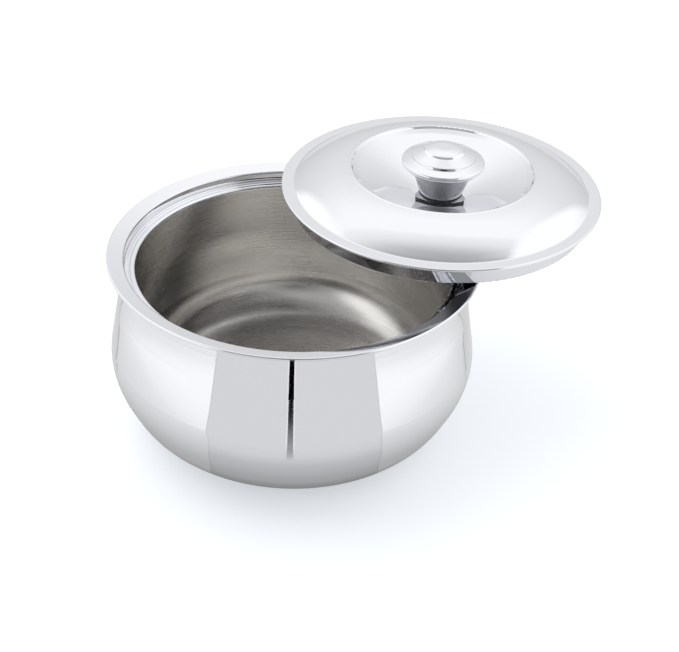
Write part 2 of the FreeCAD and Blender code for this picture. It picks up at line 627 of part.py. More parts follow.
CORE_BOSS_R = f"({FOOT_R} - neck_gauge - core_play)"
CORE_DISC_R = f"({OUTER_STEP_R} - outer_step_run - cap_gauge - core_play)"
CORE_SKIRT_R = "(cap_r - cap_gauge - core_rim_play)"
CORE_SKIRT_TOP = f"({CAP_FOOT} + cap_shoulder_rise - core_shoulder_room)"
CORE_TOP = f"({CAP_FOOT} + outer_step_high - cap_gauge - core_top_play)"
lid_node(solid_turning("knob_core", [
    (f"{INSERT_HEAD_R} + seat_gap", CORE_FOOT),
    (CORE_BOSS_R, CORE_FOOT),
    (CORE_BOSS_R, CORE_SEAT),
    (CORE_SKIRT_R, CORE_SEAT),
    (CORE_SKIRT_R, CORE_SKIRT_TOP),
    (CORE_DISC_R, CORE_SKIRT_TOP),
    (CORE_DISC_R, CORE_TOP),
    ("0", CORE_TOP),
    ("0", f"{INSERT_TOP} + screw_tip_room"),
    (SCREW_HOLE_R, f"{INSERT_TOP} + screw_tip_room"),
    (SCREW_HOLE_R, f"{INSERT_TOP} + seat_gap"),
    (f"{INSERT_R} + seat_gap", f"{INSERT_TOP} + seat_gap"),
    (f"{INSERT_R} + seat_gap", f"{CORE_FOOT} + insert_head + seat_gap"),
    (f"{INSERT_HEAD_R} + seat_gap", f"{CORE_FOOT} + insert_head + seat_gap"),
]), "knob_core")
lid_node(solid_turning("knob_insert", [
    ("screw_r", CORE_FOOT),
    (INSERT_HEAD_R, CORE_FOOT),
    (INSERT_HEAD_R, f"{CORE_FOOT} + insert_head"),
    (INSERT_R, f"{CORE_FOOT} + insert_head"),
    (INSERT_R, INSERT_TOP),
    ("screw_r", INSERT_TOP),
]), "knob_insert")

knob_cap = spun_sheet("knob_cap", [
    ("0", f"{CAP_FOOT} + crown_rise"),
    (f"{INNER_STEP_R} - crown_shoulder", f"{CAP_FOOT} + crown_rise", "crown_bend"),
    (f"{INNER_STEP_R} - inner_step_run", f"{CAP_FOOT} + inner_step_high", "step_bend"),
    (INNER_STEP_R, f"{CAP_FOOT} + inner_step_low", "step_bend"),
    (f"{OUTER_STEP_R} - outer_step_run", f"{CAP_FOOT} + outer_step_high", "step_bend"),
    (OUTER_STEP_R, f"{CAP_FOOT} + outer_step_low", "step_bend"),
    ("cap_r", f"{CAP_FOOT} + cap_shoulder_rise", "cap_shoulder_bend"),
    ("cap_r", CAP_FOOT, "cap_curl_bend"),
    (CURL_R, CAP_FOOT),
], "-cap_gauge")
lid_node(knob_cap, "knob_cap")

doc.recompute()

for item in doc.Objects:
    if {"Invalid", "Error"} & set(item.State):
        raise RuntimeError(f"{item.Name} failed: {item.State}")
for piece in nodes:
    shape = piece.Shape
    if shape.isNull() or not shape.isValid() or len(shape.Solids) != 1:
        raise RuntimeError(f"{piece.Label} isn't one valid solid")

os.makedirs("parts", exist_ok=True)
for piece in nodes:
    piece.Shape.exportStep(f"parts/{piece.Label}.step")
    box = piece.Shape.optimalBoundingBox(False)
    print(f"{piece.Label:16s} volume {piece.Shape.Volume:11.1f}  z {box.ZMin:7.2f} to {box.ZMax:7.2f}"
          f"  across {box.XLength:6.2f}")
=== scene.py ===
"""Looks of the insulated casserole: a polished steel pot with its loose lid laid across the rim.

Metres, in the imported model's own frame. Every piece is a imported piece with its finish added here.
"""
import math

import bpy
from mathutils import Matrix, Vector


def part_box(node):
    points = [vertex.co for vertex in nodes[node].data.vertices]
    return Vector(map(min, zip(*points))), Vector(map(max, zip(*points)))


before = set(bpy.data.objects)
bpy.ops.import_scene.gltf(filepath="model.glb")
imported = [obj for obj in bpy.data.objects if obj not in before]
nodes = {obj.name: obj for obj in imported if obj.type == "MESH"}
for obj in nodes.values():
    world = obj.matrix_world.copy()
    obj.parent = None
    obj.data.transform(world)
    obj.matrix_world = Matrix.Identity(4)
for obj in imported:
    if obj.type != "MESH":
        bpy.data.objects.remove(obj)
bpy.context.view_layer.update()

MM = 0.001
MICRON = 1e-6

# ---- places read from the frame ----
rim_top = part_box("inner_liner")[1].z
cap_low, cap_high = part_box("knob_cap")
POT_AXIS = Vector((0, 0, 0))
LID_AXIS = Vector(((cap_low.x + cap_high.x) / 2, (cap_low.y + cap_high.y) / 2, 0))
BASE_RADIUS = 69 * MM
LEDGE_DROP = 8.9 * MM  # from the rim's top down to the ledge that carries the lid
LEDGE = rim_top - LEDGE_DROP


# ---- small helpers ----
def linear(hex_colour):
    """An sRGB hex colour as linear RGBA."""
    shown = [int(hex_colour[i:i + 2], 16) / 255 for i in (1, 3, 5)]
    light = [c / 12.92 if c <= 0.04045 else ((c + 0.055) / 1.055) ** 2.4 for c in shown]
    return (*light, 1.0)


def share_of(hex_colour, share):
    """A share of a hex colour's light, as linear RGBA."""
    return (*(share * c for c in linear(hex_colour)[:3]), 1.0)


def grey(level):
    """A neutral light level as linear RGBA."""
    return (level, level, level, 1.0)


def add_node(tree, kind, inputs=None, stops=None, **settings):
    """Add a shader node. Inputs map a socket's name or number to a value or to another node's
    output, and stops are the places and colours of a colour ramp."""
    node = tree.nodes.new(kind)
    for name, value in settings.items():
        setattr(node, name, value)
    for socket, value in (inputs or {}).items():
        if isinstance(value, bpy.types.NodeSocket):
            tree.links.new(value, node.inputs[socket])
        else:
            node.inputs[socket].default_value = value
    if stops:
        ramp = node.color_ramp
        for place, _ in stops[2:]:
            ramp.elements.new(place)
        in_order = sorted(ramp.elements, key=lambda element: element.position)
        for element, (place, colour) in zip(in_order, stops):
            element.position = place
            element.color = colour
    return node


def new_material(name):
    material = bpy.data.materials.new(name)
    material.use_nodes = True
    tree = material.node_tree
    tree.nodes.clear()
    return material, tree


def finish_material(tree, shader):
    add_node(tree, "ShaderNodeOutputMaterial", {"Surface": shader.outputs[0]})


# ---- marks that turning, buffing and moulding leave ----
def round_the_axis(tree, axis):
    """Places on a piece about its axis: radius, height, and the flat direction from the axis."""
    place = add_node(tree, "ShaderNodeTexCoord")
    offset = add_node(tree, "ShaderNodeVectorMath", {0: place.outputs["Object"], 1: axis},
                      operation="SUBTRACT")
    split = add_node(tree, "ShaderNodeSeparateXYZ", {0: offset.outputs[0]})
    flat = add_node(tree, "ShaderNodeCombineXYZ", {
        "X": split.outputs["X"], "Y": split.outputs["Y"]})
    radius = add_node(tree, "ShaderNodeVectorMath", {0: flat.outputs[0]}, operation="LENGTH")
    outward = add_node(tree, "ShaderNodeVectorMath", {0: flat.outputs[0]}, operation="NORMALIZE")
    return radius.outputs["Value"], split.outputs["Z"], outward.outputs[0]


def spun_marks(tree, places, spacing, waver, detail=2.0):
    """Fine marks that run round a spun piece. Spacing is from mark to mark, and waver is how much
    they change on the way round."""
    radius, height, outward = places
    across = add_node(tree, "ShaderNodeMath", {0: radius, 1: 1 / spacing}, operation="MULTIPLY")
    down = add_node(tree, "ShaderNodeMath", {0: height, 1: 1 / spacing}, operation="MULTIPLY")
    turn = add_node(tree, "ShaderNodeVectorMath", {0: outward, "Scale": waver}, operation="SCALE")
    lift = add_node(tree, "ShaderNodeCombineXYZ", {"Z": across.outputs[0]})
    spot = add_node(tree, "ShaderNodeVectorMath", {0: turn.outputs[0], 1: lift.outputs[0]},
                    operation="ADD")
    noise = add_node(tree, "ShaderNodeTexNoise", {
        "Vector": spot.outputs[0], "W": down.outputs[0], "Scale": 1.0, "Detail": detail,
        "Roughness": 0.6,
    }, noise_dimensions="4D")
    return noise.outputs["Fac"]


def even_marks(tree, size, detail=2.0):
    """Marks with no direction, of about this size."""
    place = add_node(tree, "ShaderNodeTexCoord")
    noise = add_node(tree, "ShaderNodeTexNoise", {
        "Vector": place.outputs["Object"], "Scale": 1 / size, "Detail": detail, "Roughness": 0.55})
    return noise.outputs["Fac"]


# ---- metals ----
BUFF_SPACING = 0.4 * MM  # the wheel's own marks are finer, and are drawn as coarse as they show
BELT_SPACING = 0.7 * MM  # from a 240 grit belt, whose lines are drawn as coarse as they show
BUFF_DEPTH = 0.06 * MICRON
BELT_DEPTH = 6 * MICRON
BUFF_WAVER = 2.5
SHEET_WAVE = 26 * MM  # how far apart the swells are where the sheet isn't quite true
SHEET_DEPTH = 14 * MICRON
WIPE_SIZE = 9 * MM  # patches where the cloth left more haze
BELT_CLOUD = 30 * MM  # patches where the belt pressed harder
SATIN_FROM = 1.2 * MM  # below the ledge, where the satin starts
SATIN_FULL = 2.4 * MM
BATH_BLOTCH = 4 * MM  # patches of uneven tone on plated and turned metal
STEEL = "#E6E7EB"


def mirror_steel(name, axis, colour, shine=0.03, haze=0.06):
    """Drawn 304 stainless sheet, buffed to a mirror on a cloth wheel while it turned: clear
    reflections with faint hoops of haze, which waver a little where the sheet isn't quite true."""
    material, tree = new_material(name)
    hoops = spun_marks(tree, round_the_axis(tree, axis), BUFF_SPACING, BUFF_WAVER)
    wiped = even_marks(tree, WIPE_SIZE, 3.0)
    hazy = add_node(tree, "ShaderNodeMath", {0: hoops, 1: wiped}, operation="MULTIPLY")
    rough = add_node(tree, "ShaderNodeMapRange", {
        "Value": hazy.outputs[0], "From Min": 0.15, "From Max": 0.40,
        "To Min": shine, "To Max": haze,
    }, interpolation_type="SMOOTHSTEP")
    wave = add_node(tree, "ShaderNodeBump", {
        "Height": even_marks(tree, SHEET_WAVE, 1.0), "Distance": SHEET_DEPTH, "Strength": 1.0})
    marks = add_node(tree, "ShaderNodeBump", {
        "Height": hoops, "Distance": BUFF_DEPTH, "Strength": 1.0,
        "Normal": wave.outputs["Normal"]})
    shader = add_node(tree, "ShaderNodeBsdfPrincipled", {
        "Base Color": linear(colour),
        "Metallic": 1.0,
        "Roughness": rough.outputs["Result"],
        "Normal": marks.outputs["Normal"],
    })
    finish_material(tree, shader)
    return material


def turned_neck():
    """Thicker stainless, pressed and then dressed with fine cloth while it turned. The marks run
    round it, so that what it reflects is drawn out up and down into soft upright bands."""
    material, tree = new_material("dressed_stainless_neck")
    places = round_the_axis(tree, LID_AXIS)
    hoops = spun_marks(tree, places, BUFF_SPACING, BUFF_WAVER)
    rough = add_node(tree, "ShaderNodeMapRange", {
        "Value": hoops, "From Min": 0.3, "From Max": 0.7, "To Min": 0.32, "To Max": 0.40})
    marks = add_node(tree, "ShaderNodeBump", {
        "Height": hoops, "Distance": BUFF_DEPTH, "Strength": 1.0})
    along = add_node(tree, "ShaderNodeVectorMath", {0: (0, 0, 1), 1: places[2]},
                     operation="CROSS_PRODUCT")
    shader = add_node(tree, "ShaderNodeBsdfPrincipled", {
        # A base colour darker than the pot's steel: painted shade, for the shade under the cap.
        "Base Color": linear("#C8C9CC"),
        "Metallic": 1.0,
        "Roughness": rough.outputs["Result"],
        "Anisotropic": 0.95,
        "Anisotropic Rotation": 0.25,
        "Normal": marks.outputs["Normal"],
        "Tangent": along.outputs[0],
    })
    finish_material(tree, shader)
    return material


def bowl_steel():
    """The food bowl: its rim and lid ledge are buffed like the outside, and below the ledge it
    keeps the satin lines of the belt, which run round it and blur what it reflects."""
    material, tree = new_material("satin_belted_stainless_bowl")
    places = round_the_axis(tree, POT_AXIS)
    below = add_node(tree, "ShaderNodeMapRange", {
        "Value": places[1], "From Min": LEDGE - SATIN_FROM, "From Max": LEDGE - SATIN_FULL,
    }, interpolation_type="SMOOTHSTEP")
    inside = below.outputs["Result"]
    hoops = spun_marks(tree, places, BUFF_SPACING, BUFF_WAVER)
    lines = spun_marks(tree, places, BELT_SPACING, 2.0, 4.0)
    cloudy = even_marks(tree, BELT_CLOUD, 2.0)
    buffed = add_node(tree, "ShaderNodeMapRange", {
        "Value": hoops, "From Min": 0.3, "From Max": 0.7, "To Min": 0.03, "To Max": 0.06})
    lined = add_node(tree, "ShaderNodeMapRange", {
        "Value": lines, "From Min": 0.25, "From Max": 0.75, "To Min": 0.17, "To Max": 0.30})
    clouded = add_node(tree, "ShaderNodeMapRange", {
        "Value": cloudy, "From Min": 0.3, "From Max": 0.7, "To Min": -0.03, "To Max": 0.04})
    belted = add_node(tree, "ShaderNodeMath", {
        0: lined.outputs["Result"], 1: clouded.outputs["Result"]}, operation="ADD")
    rough = add_node(tree, "ShaderNodeMix", {
        "Factor": inside, "A": buffed.outputs["Result"], "B": belted.outputs[0]})
    colour = add_node(tree, "ShaderNodeMix", {
        "Factor": inside, "A": linear(STEEL), "B": linear("#DCDAD7")}, data_type="RGBA")
    depth = add_node(tree, "ShaderNodeMath", {0: lines, 1: inside}, operation="MULTIPLY")
    wave = add_node(tree, "ShaderNodeBump", {
        "Height": even_marks(tree, SHEET_WAVE, 1.0), "Distance": SHEET_DEPTH, "Strength": 1.0})
    marks = add_node(tree, "ShaderNodeBump", {
        "Height": depth.outputs[0], "Distance": BELT_DEPTH, "Strength": 1.0,
        "Normal": wave.outputs["Normal"]})
    shader = add_node(tree, "ShaderNodeBsdfPrincipled", {
        "Base Color": colour.outputs["Result"],
        "Metallic": 1.0,
        "Roughness": rough.outputs["Result"],
        "Normal": marks.outputs["Normal"],
    })
    finish_material(tree, shader)
    return material


def turned_metal(name, axis, colour, shine, haze, spacing, depth):
    """Turned or stamped hardware: duller than sheet, with rings from the tool and uneven tone."""
    material, tree = new_material(name)
    rings = spun_marks(tree, round_the_axis(tree, axis), spacing, 1.5, 3.0)
    blotch = even_marks(tree, BATH_BLOTCH, 3.0)
    mixed = add_node(tree, "ShaderNodeMath", {0: rings, 1: blotch}, operation="MULTIPLY")
    tone = add_node(tree, "ShaderNodeValToRGB", {0: blotch}, stops=[
        (0.3, share_of(colour, 0.88)),
        (0.7, linear(colour)),
    ])
    rough = add_node(tree, "ShaderNodeMapRange", {
        "Value": mixed.outputs[0], "From Min": 0.12, "From Max": 0.42,
        "To Min": shine, "To Max": haze})
    marks = add_node(tree, "ShaderNodeBump", {"Height": rings, "Distance": depth, "Strength": 1.0})
    shader = add_node(tree, "ShaderNodeBsdfPrincipled", {
        "Base Color": tone.outputs["Color"],
        "Metallic": 1.0,
        "Roughness": rough.outputs["Result"],
        "Normal": marks.outputs["Normal"],
    })
    finish_material(tree, shader)
    return material


# ---- foam, plastics and rubber ----
CLOUD_GRAINS = 14  # how many grains of the mould wide a cloud of colour is


def moulded(name, colour, rough, grain, depth, sheen=0.0):
    """A moulded piece: the mould's fine grain on it, and a colour that is even but not flat."""
    material, tree = new_material(name)
    pits = even_marks(tree, grain, 3.0)
    clouds = even_marks(tree, CLOUD_GRAINS * grain, 2.0)
    tone = add_node(tree, "ShaderNodeValToRGB", {0: clouds}, stops=[
        (0.3, share_of(colour, 0.86)),
        (0.7, linear(colour)),
    ])
    dull = add_node(tree, "ShaderNodeMapRange", {
        "Value": pits, "From Min": 0.3, "From Max": 0.7,
        "To Min": rough - 0.06, "To Max": rough + 0.06})
    marks = add_node(tree, "ShaderNodeBump", {"Height": pits, "Distance": depth, "Strength": 1.0})
    shader = add_node(tree, "ShaderNodeBsdfPrincipled", {
        "Base Color": tone.outputs["Color"],
        "Roughness": dull.outputs["Result"],
        "Normal": marks.outputs["Normal"],
        "Sheen Weight": sheen,
    })
    finish_material(tree, shader)
    return material


FOAM_CELL = 0.6 * MM
FOAM_PIT = 0.15 * MM
FOAM_PATCH = 12 * MM


def foam():
    """Rigid polyurethane foam, poured and cured: pale straw, dull, with small closed cells under
    a skin that is darker in places."""
    material, tree = new_material("rigid_polyurethane_foam")
    place = add_node(tree, "ShaderNodeTexCoord")
    cells = add_node(tree, "ShaderNodeTexVoronoi", {
        "Vector": place.outputs["Object"], "Scale": 1 / FOAM_CELL})
    tone = add_node(tree, "ShaderNodeValToRGB", {0: even_marks(tree, FOAM_PATCH, 3.0)}, stops=[
        (0.35, linear("#D8C48C")),
        (0.65, linear("#E9DCB0")),
    ])
    dull = add_node(tree, "ShaderNodeMapRange", {
        "Value": cells.outputs["Distance"], "From Min": 0.0, "From Max": 0.6,
        "To Min": 0.95, "To Max": 0.75})
    marks = add_node(tree, "ShaderNodeBump", {
        "Height": cells.outputs["Distance"], "Distance": FOAM_PIT, "Strength": 1.0})
    shader = add_node(tree, "ShaderNodeBsdfPrincipled", {
        "Base Color": tone.outputs["Color"],
        "Roughness": dull.outputs["Result"],
        "Normal": marks.outputs["Normal"],
    })
    finish_material(tree, shader)
    return material


pot_steel = mirror_steel("mirror_buffed_stainless_pot", POT_AXIS, STEEL)
lid_steel = mirror_steel("mirror_buffed_stainless_lid", LID_AXIS, STEEL)
# The pan is the lid's plain underside, buffed less than the rest, and its colour is set a little
# darker.
pan_steel = mirror_steel("buffed_stainless_pan", LID_AXIS, "#CBCCD0", 0.04, 0.08)
# Bright zinc on pressed and turned steel: dull, a little blue, with blotches from the bath.
zinc = turned_metal(
    "bright_zinc_plated_steel", LID_AXIS, "#B9BCC0", 0.22, 0.42, 0.5 * MM, 4 * MICRON)
# Free-cutting brass, turned, with its tool rings and a dull gold colour.
brass = turned_metal("turned_brass", LID_AXIS, "#C9A35A", 0.20, 0.38, 0.3 * MM, 5 * MICRON)
straw_foam = foam()
# Polypropylene, injection moulded in a spark-eroded mould: dark, waxy and finely grained.
plug_plastic = moulded("moulded_polypropylene_plug", "#2B2B2D", 0.48, 0.35 * MM, 12 * MICRON)
# Phenolic, compression moulded: hard, black and a little glossy.
core_plastic = moulded("moulded_phenolic_core", "#1A1918", 0.38, 0.5 * MM, 8 * MICRON)
# Silicone rubber, moulded: grey, matt, with a faint bloom.
gasket_rubber = moulded("moulded_silicone_gasket", "#3A3B3D", 0.62, 0.3 * MM, 6 * MICRON, 0.2)

FINISHES = {
    "outer_shell": pot_steel,
    "inner_liner": bowl_steel(),
    "pot_foam": straw_foam,
    "foam_port_plug": plug_plastic,
    "vent_plug": plug_plastic,
    "lid_top_shell": lid_steel,
    "lid_pan": pan_steel,
    "lid_foam": straw_foam,
    "knob_cap": lid_steel,
    "knob_neck": turned_neck(),
    "knob_core": core_plastic,
    "knob_insert": brass,
    "knob_gasket": gasket_rubber,
    "backing_plate": zinc,
    "flat_washer": zinc,
    "spring_washer": zinc,
    "knob_screw": zinc,
}
for name, obj in nodes.items():
    obj.data.materials.clear()
    obj.data.materials.append(FINISHES[name])

# ---- camera ----
CAMERA_LENS = 68.925
SENSOR = 36.0
CAMERA_PITCH = math.radians(34.65)
CAMERA_ROLL = math.radians(-2.78)
RIM_CENTRE = Vector((0, 0, 114 * MM))
RIM_FROM_CAMERA = Vector((-0.0261, 0.04565, 0.7652))  # right, up and ahead

level_right = Vector((1, 0, 0))
level_up = Vector((0, math.sin(CAMERA_PITCH), math.cos(CAMERA_PITCH)))
ahead = Vector((0, math.cos(CAMERA_PITCH), -math.sin(CAMERA_PITCH)))
right = math.cos(CAMERA_ROLL) * level_right - math.sin(CAMERA_ROLL) * level_up
up = math.sin(CAMERA_ROLL) * level_right + math.cos(CAMERA_ROLL) * level_up
camera_data = bpy.data.cameras.new("camera")
camera_data.lens = CAMERA_LENS
camera_data.sensor_width = SENSOR
camera_data.sensor_fit = "HORIZONTAL"
camera = bpy.data.objects.new("camera", camera_data)
bpy.context.scene.collection.objects.link(camera)
place = RIM_CENTRE - (
    right * RIM_FROM_CAMERA.x + up * RIM_FROM_CAMERA.y + ahead * RIM_FROM_CAMERA.z)
camera.matrix_world = Matrix((
    (right.x, up.x, -ahead.x, place.x),
    (right.y, up.y, -ahead.y, place.y),
    (right.z, up.z, -ahead.z, place.z),
    (0, 0, 0, 1),
))
bpy.context.scene.camera = camera
bpy.context.scene.view_settings.view_transform = "Standard"

# ---- world: a pale tent with an opening at the front, dim within and dark in the middle ----
OPENING_HEIGHT = math.radians(20)  # the middle of the tent's opening, above the horizon
opening_way = Vector((0, -math.cos(OPENING_HEIGHT), math.sin(OPENING_HEIGHT)))
world = bpy.data.worlds.new("tent")
bpy.context.scene.world = world
world.use_nodes = True
tree = world.node_tree
tree.nodes.clear()


def cosine_stops(*stops):
    """Ramp stops on a direction's cosine, for angles from it in degrees, widest first."""
    return [(max(0.0, math.cos(math.radians(angle))), grey(level)) for angle, level in stops]


direction = add_node(tree, "ShaderNodeTexCoord")
split = add_node(tree, "ShaderNodeSeparateXYZ", {0: direction.outputs["Generated"]})
tent = add_node(tree, "ShaderNodeValToRGB", {0: split.outputs["Z"]}, stops=[
    (0.00, grey(0.74)),
    (0.26, grey(0.86)),
    (0.50, grey(0.97)),
    (0.70, grey(1.14)),
    (0.79, grey(1.21)),
    (0.93, grey(1.21)),
    (1.00, grey(1.18)),
])
towards = add_node(tree, "ShaderNodeVectorMath", {
    0: direction.outputs["Generated"], 1: opening_way}, operation="DOT_PRODUCT")
opening = add_node(tree, "ShaderNodeValToRGB", {0: towards.outputs["Value"]}, stops=cosine_stops(
    (90, 0.98), (86, 0.90), (80, 0.83), (76, 0.74), (70, 0.57), (66, 0.48), (60, 0.39), (42, 0.40),
    (26, 0.45), (14, 0.30), (7, 0.05)))
dimmed = add_node(tree, "ShaderNodeMix", {
    "Factor": 1.0, "A": tent.outputs["Color"], "B": opening.outputs["Color"],
}, data_type="RGBA", blend_type="MULTIPLY")
tent_light = add_node(tree, "ShaderNodeBackground", {
    "Color": dimmed.outputs["Result"], "Strength": 1.0})
seen = add_node(tree, "ShaderNodeBackground", {"Color": grey(1.0), "Strength": 1.0})
path = add_node(tree, "ShaderNodeLightPath")
both = add_node(tree, "ShaderNodeMixShader", {
    0: path.outputs["Is Camera Ray"], 1: tent_light.outputs[0], 2: seen.outputs[0]})
add_node(tree, "ShaderNodeOutputWorld", {"Surface": both.outputs[0]})

# ---- floor ----
FLOOR_SIZE = 12.0
FLOOR_GLOW = 0.44  # what the camera sees on top of the floor's own light, up to white
bpy.ops.mesh.primitive_plane_add(size=FLOOR_SIZE, location=(0, 0, 0))
floor = bpy.context.object
floor.name = "floor"
material, tree = new_material("pale_floor")
shader = add_node(tree, "ShaderNodeBsdfPrincipled", {
    "Base Color": linear("#F0F3F7"),
    "Roughness": 0.6,
})
glow = add_node(tree, "ShaderNodeEmission", {
    "Color": linear("#F6FAFE"), "Strength": FLOOR_GLOW})
path = add_node(tree, "ShaderNodeLightPath")
extra = add_node(tree, "ShaderNodeMixShader", {
    0: path.outputs["Is Camera Ray"], 2: glow.outputs[0]})
total = add_node(tree, "ShaderNodeAddShader", {0: shader.outputs[0], 1: extra.outputs[0]})
finish_material(tree, total)
floor.data.materials.append(material)

# ---- soft key light from behind on the left, which gives the floor its shadow ----
KEY_AIM = Vector((0.55, -0.35, -1.0))
key_data = bpy.data.lights.new("key", "SUN")
key_data.energy = 0.5
key_data.angle = math.radians(55)
key = bpy.data.objects.new("key", key_data)
key.rotation_euler = KEY_AIM.to_track_quat("-Z", "Y").to_euler()
key.visible_glossy = False
bpy.context.scene.collection.objects.link(key)


# ---- glowing cards, seen only in the steel: painted reflections ----
def card(name, points, faces, material):
    """A glowing card, a painted reflection: it shows in polished surfaces, and isn't in the picture
    itself.
    """
    mesh = bpy.data.meshes.new(name)
    mesh.from_pydata(points, [], faces)
    mesh.materials.append(material)
    obj = bpy.data.objects.new(name, mesh)
    bpy.context.scene.collection.objects.link(obj)
    obj.visible_camera = False
    obj.visible_shadow = False
    obj.visible_diffuse = False


PANEL_REFLECTION_FOOT = 130 * MM
FOOT_LEVEL = 0.88  # how light the painted soft box reflection is at its foot
FULL_LEVEL = 1.25  # and from FULL_HEIGHT up
FULL_HEIGHT = 0.62
GLOW_FADE = 0.78  # where the painted glow starts to fade, as a share of the way to its edge
OUTLINE_STEPS = 96


def painted_panel_reflection(name, x, half_width, height, power):
    """A painted reflection of a standing soft box: a glowing panel with rounded upper corners, seen
    only in the steel. It fades towards its edges, and its foot is a little above the floor."""
    outline = []
    for step in range(OUTLINE_STEPS + 1):
        angle = math.pi * step / OUTLINE_STEPS
        aside, upward = math.cos(angle), math.sin(angle)
        y = half_width * math.copysign(abs(aside) ** (2 / power), aside)
        z = height * abs(upward) ** (2 / power)
        outline.append((x, y, max(z, PANEL_REFLECTION_FOOT)))

    # Its material is a glow seen only in reflections: the painted light of a soft box.
    material, tree = new_material(name + "_painted_glow")
    place = add_node(tree, "ShaderNodeTexCoord")
    split = add_node(tree, "ShaderNodeSeparateXYZ", {0: place.outputs["Object"]})
    side = add_node(tree, "ShaderNodeMath", {0: split.outputs["Y"]}, operation="ABSOLUTE")
    across = add_node(tree, "ShaderNodeMath", {0: side.outputs[0], 1: half_width},
                      operation="DIVIDE")
    above = add_node(tree, "ShaderNodeMath", {0: split.outputs["Z"], 1: height},
                     operation="DIVIDE")
    across_part = add_node(tree, "ShaderNodeMath", {0: across.outputs[0], 1: power},
                           operation="POWER")
    above_part = add_node(tree, "ShaderNodeMath", {0: above.outputs[0], 1: power},
                          operation="POWER")
    total = add_node(tree, "ShaderNodeMath", {0: across_part.outputs[0], 1: above_part.outputs[0]},
                     operation="ADD")
    edge = add_node(tree, "ShaderNodeMath", {0: total.outputs[0], 1: 1 / power},
                    operation="POWER")
    lit = add_node(tree, "ShaderNodeMapRange", {
        "Value": edge.outputs[0], "From Min": 1.0, "From Max": GLOW_FADE,
    }, interpolation_type="SMOOTHSTEP")
    level = add_node(tree, "ShaderNodeMapRange", {
        "Value": split.outputs["Z"], "From Min": PANEL_REFLECTION_FOOT, "From Max": FULL_HEIGHT,
        "To Min": FOOT_LEVEL, "To Max": FULL_LEVEL})
    light = add_node(tree, "ShaderNodeEmission", {
        "Color": grey(1.0), "Strength": level.outputs["Result"]})
    clear = add_node(tree, "ShaderNodeBsdfTransparent")
    finish_material(tree, add_node(tree, "ShaderNodeMixShader", {
        0: lit.outputs["Result"], 1: clear.outputs[0], 2: light.outputs[0]}))
    card(name, outline, [range(len(outline))], material)


WALL = 0.9  # how far each painted soft box reflection stands from the pot's axis
painted_panel_reflection("right_panel_painted_reflection", WALL, 1.12 * WALL, 1.82 * WALL, 4.0)
painted_panel_reflection("left_panel_painted_reflection", -WALL, 1.54 * WALL, 1.70 * WALL, 5.0)

# Painted reflections laid round the pot, seen only in the steel: a grey sheet in front, white
# round it, and painted shade of the pot, which is deeper close to the base.
CARD_LIFT = 0.2 * MM  # from one card to the next
CARD_GAP = 3 * MM
CARDS_INNER = BASE_RADIUS + CARD_GAP
CARDS_OUTER = 3.0
SHADE_REACH = 400  # mm, the widest reach in the lists of shades
WHITE_REFLECTION_TINT = "#FFFFFE"
GREY_REFLECTION_TINT = "#FFFFFF"
# How light each reflection is at so many mm from the pot's axis, with painted shade near it.
WHITE_SHADE = [
    (92, 0.34), (101, 0.48), (113, 0.56), (125, 0.64), (140, 0.72), (160, 0.79), (200, 0.88),
    (235, 0.98), (252, 1.07), (272, 1.13), (300, 1.18), (340, 1.18), (400, 1.05),
]
GREY_SHADE = [
    (92, 0.28), (99, 0.36), (104, 0.455), (114, 0.53), (131, 0.60), (145, 0.69), (163, 0.765),
    (195, 0.80), (225, 0.815),
]
# Painted shade: how light the white reflection is at so many degrees from the front, towards the
# right.
ROUND = [
    (-180, 0.80), (-150, 0.78), (-132, 0.70), (-118, 0.86), (-100, 0.97), (-92, 1.0), (92, 1.0),
    (100, 0.96), (118, 0.84), (132, 0.68), (150, 0.76), (180, 0.80),
]


def painted_reflection_glow(name, colour, shades, level=1.0, bearing_stops=None):
    """A glow seen in the steel as matt floor under soft light: a painted reflection, with painted
    shade that makes it darker towards the pot. With bearing stops, its light changes on the way round
    too."""
    material, tree = new_material(name)
    spot = add_node(tree, "ShaderNodeTexCoord")
    reach = add_node(tree, "ShaderNodeVectorMath", {0: spot.outputs["Object"]}, operation="LENGTH")
    part = add_node(tree, "ShaderNodeMath", {0: reach.outputs["Value"], 1: SHADE_REACH * MM},
                    operation="DIVIDE")
    shade = add_node(tree, "ShaderNodeValToRGB", {0: part.outputs[0]}, stops=[
        (reach_mm / SHADE_REACH, grey(level * shown)) for reach_mm, shown in shades])
    tint = linear(colour)
    if bearing_stops:
        split = add_node(tree, "ShaderNodeSeparateXYZ", {0: spot.outputs["Object"]})
        front = add_node(tree, "ShaderNodeMath", {0: split.outputs["Y"], 1: -1.0},
                         operation="MULTIPLY")
        bearing = add_node(tree, "ShaderNodeMath", {0: split.outputs["X"], 1: front.outputs[0]},
                           operation="ARCTAN2")
        turn = add_node(tree, "ShaderNodeMapRange", {
            "Value": bearing.outputs[0], "From Min": -math.pi, "From Max": math.pi})
        sectors = add_node(tree, "ShaderNodeValToRGB", {0: turn.outputs["Result"]}, stops=[
            ((degrees + 180) / 360, share_of(colour, share)) for degrees, share in bearing_stops])
        tint = sectors.outputs["Color"]
    finish_material(tree, add_node(tree, "ShaderNodeEmission", {
        "Color": tint, "Strength": shade.outputs["Color"]}))
    return material


RING_STEPS = 120
rings = []
for radius in (CARDS_INNER, CARDS_OUTER):
    for step in range(RING_STEPS):
        angle = 2 * math.pi * step / RING_STEPS
        rings.append((radius * math.cos(angle), radius * math.sin(angle), CARD_LIFT))
faces = []
for step in range(RING_STEPS):
    following = (step + 1) % RING_STEPS
    faces.append((step, RING_STEPS + step, RING_STEPS + following, following))
card("painted_reflection_round_the_pot", rings, faces,
     painted_reflection_glow("white_painted_reflection", WHITE_REFLECTION_TINT, WHITE_SHADE, bearing_stops=ROUND))


